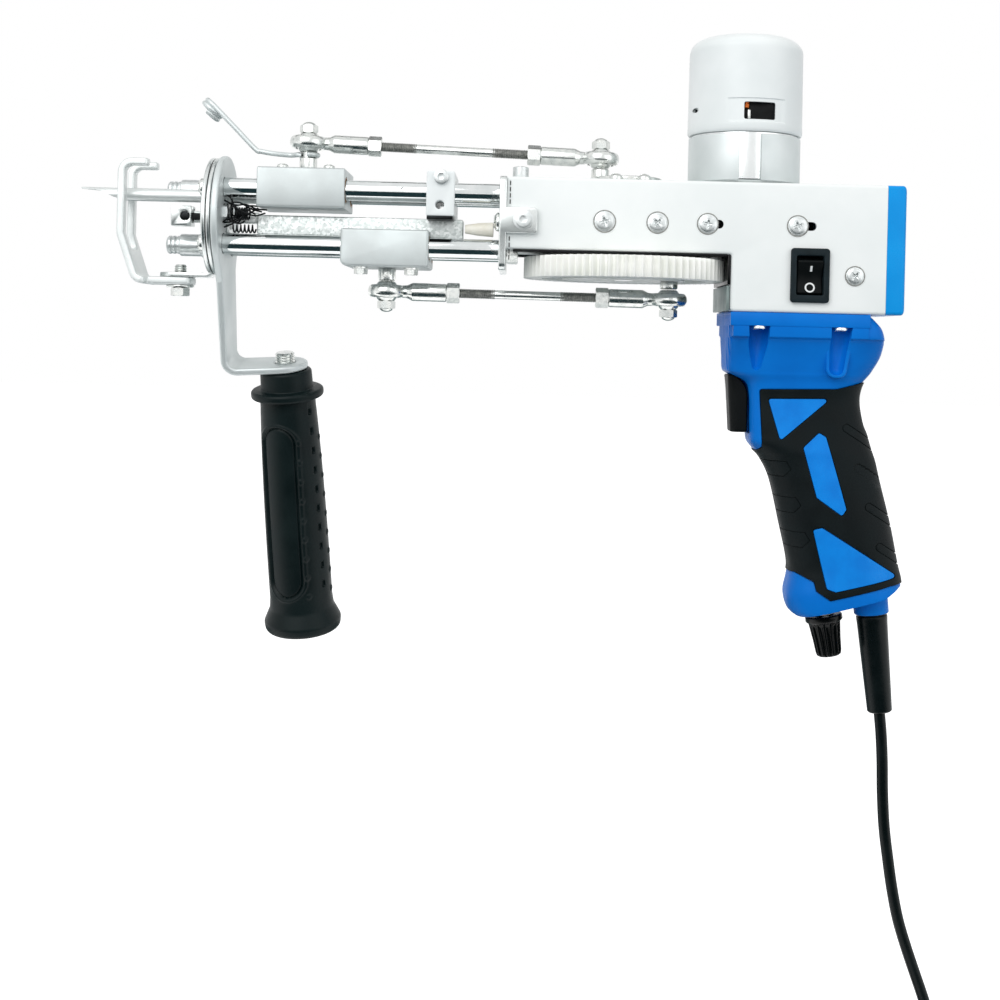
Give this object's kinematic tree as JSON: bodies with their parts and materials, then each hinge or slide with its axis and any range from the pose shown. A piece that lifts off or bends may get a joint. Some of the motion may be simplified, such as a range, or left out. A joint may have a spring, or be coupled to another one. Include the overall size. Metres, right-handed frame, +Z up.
{
  "type": "handheld tufting machine",
  "caption": "Handheld electric tufting machine with a hollow needle and following scissors on guide shafts, crank driven, with a front handle, pistol grip, trigger and low-voltage cord.",
  "frame": {"origin": "middle of the rear pistol grip, on the plane that the needle, both cranks and the grip share", "axes": "needle points along -X, +Z is up with the motor on top, -Y is the side with the rocker switch"},
  "size_m": [0.3563, 0.0909, 0.4723],
  "materials": {
    "white_paint": "semi-gloss white powder coat",
    "light_blue_plastic": "semi-gloss moulded ABS",
    "blue_plastic": "satin moulded ABS",
    "zinc_plated_steel": "bright zinc plating",
    "pale_zinc": "pale satin plating on flat steel",
    "polished_shaft": "ground and polished hard chrome",
    "satin_aluminium": "fine blasted and anodised",
    "galvanised_steel": "rough galvanised",
    "bronze_bush": "turned bronze",
    "black_steel": "black oxide",
    "white_nylon": "moulded nylon",
    "white_plastic": "semi-gloss moulded plastic",
    "motor_can": "bright drawn steel",
    "copper_winding": "lacquered copper wire",
    "black_plastic": "semi-gloss moulded plastic",
    "black_rubber": "satin moulded rubber"
  },
  "bodies": {
    "frame": {"housing": "white_paint", "rear_cap": "light_blue_plastic", "shaft_plate": "zinc_plated_steel", "upper_shaft_near": "polished_shaft", "upper_shaft_far": "polished_shaft", "lower_shaft_near": "polished_shaft", "lower_shaft_far": "polished_shaft", "flange_front": "zinc_plated_steel", "flange_plate": "zinc_plated_steel", "handle_bracket": "zinc_plated_steel", "handle": "black_rubber", "foot_bolt": "zinc_plated_steel", "brace_block": "white_paint", "bearing_block": "satin_aluminium", "crank_bearing_lower": "polished_shaft", "crank_bearing_upper": "polished_shaft", "motor_can": "motor_can", "flux_ring": "zinc_plated_steel", "motor_cap": "white_plastic", "switch_body": "black_plastic", "grip_near": "blue_plastic", "grip_far": "blue_plastic", "grip_rubber_near": "black_rubber", "grip_rubber_far": "black_rubber", "trigger_switch": "black_plastic", "speed_control": "zinc_plated_steel", "strain_relief": "black_rubber", "cord": "black_rubber", "cord_coil": "black_rubber", "cord_tie": "black_plastic", "plug": "black_rubber", "plug_barrel": "polished_shaft"},
    "foot": {"presser_foot": "pale_zinc"},
    "needle_unit": {"needle_carriage": "satin_aluminium", "needle_bush_near": "bronze_bush", "needle_bush_far": "bronze_bush", "needle": "polished_shaft", "needle_pin": "zinc_plated_steel", "yarn_guide": "polished_shaft"},
    "blade_unit": {"blade_carriage": "satin_aluminium", "blade_bush_near": "bronze_bush", "blade_bush_far": "bronze_bush", "push_bar": "galvanised_steel", "blade_pin": "zinc_plated_steel", "scissor_holder": "zinc_plated_steel", "scissor_spring": "black_steel"},
    "scissors": {"scissor_blade": "black_steel"},
    "crank": {"drive_gear": "white_nylon", "crankshaft": "polished_shaft", "needle_crank": "zinc_plated_steel", "blade_crank_stud": "zinc_plated_steel"},
    "motor_drive": {"motor_rotor": "copper_winding", "pinion": "white_nylon"},
    "needle_link": {"needle_rod": "zinc_plated_steel", "needle_rod_bolt": "zinc_plated_steel"},
    "blade_link": {"blade_rod": "zinc_plated_steel", "blade_rod_bolt": "zinc_plated_steel"},
    "trigger_button": {"trigger": "black_plastic"},
    "switch_rocker": {"rocker": "black_plastic"},
    "knob": {"speed_knob": "black_plastic"}
  },
  "joints": [
    {"name": "crank_spin", "type": "hinge", "parent": "frame", "child": "crank", "pos_m": [-0.0812, 0, 0.086], "axis": [0, 0, 1], "continuous": true},
    {"name": "pinion_spin", "type": "hinge", "parent": "frame", "child": "motor_drive", "pos_m": [-0.0342, 0, 0.086], "axis": [0, 0, 1], "continuous": true},
    {"name": "needle_slide", "type": "slide", "parent": "frame", "child": "needle_unit", "axis": [1, 0, 0], "range_m": [0, 0.0206]},
    {"name": "blade_slide", "type": "slide", "parent": "frame", "child": "blade_unit", "axis": [1, 0, 0], "range_m": [-0.0365, 0]},
    {"name": "scissor_snip", "type": "hinge", "parent": "blade_unit", "child": "scissors", "pos_m": [-0.2564, 0, 0.1034], "axis": [0, 1, 0], "range_deg": [0, 14]},
    {"name": "needle_rod_swing", "type": "hinge", "parent": "needle_unit", "child": "needle_link", "pos_m": [-0.20835, 0, 0.13395], "axis": [0, 0, 1], "range_deg": [-5.1, 5.1]},
    {"name": "blade_rod_swing", "type": "hinge", "parent": "blade_unit", "child": "blade_link", "pos_m": [-0.1758, 0, 0.0754], "axis": [0, 0, 1], "range_deg": [-9.4, 9.4]},
    {"name": "foot_height", "type": "slide", "parent": "frame", "child": "foot", "axis": [1, 0, 0], "range_m": [0, 0.005]},
    {"name": "trigger_pull", "type": "slide", "parent": "frame", "child": "trigger_button", "axis": [1, 0, 0], "range_m": [0, 0.006], "stiffness_N_per_m": 400, "springref_m": -0.001},
    {"name": "rocker_tilt", "type": "hinge", "parent": "frame", "child": "switch_rocker", "pos_m": [-0.0109, -0.0198, 0.0847], "axis": [1, 0, 0], "range_deg": [-18, 0]},
    {"name": "speed_knob_turn", "type": "hinge", "parent": "frame", "child": "knob", "pos_m": [0.0019, 0, -0.04893], "axis": [-0.1668, 0, 0.986], "range_deg": [-135, 135]}
  ],
  "couplings": [
    {"joint": "pinion_spin", "follows": "crank_spin", "ratio": -4.875},
    {"joint": "blade_slide", "follows": "needle_slide", "ratio": -1.767},
    {"joint": "scissor_snip", "follows": "needle_slide", "rad_per_m": 11.8}
  ]
}
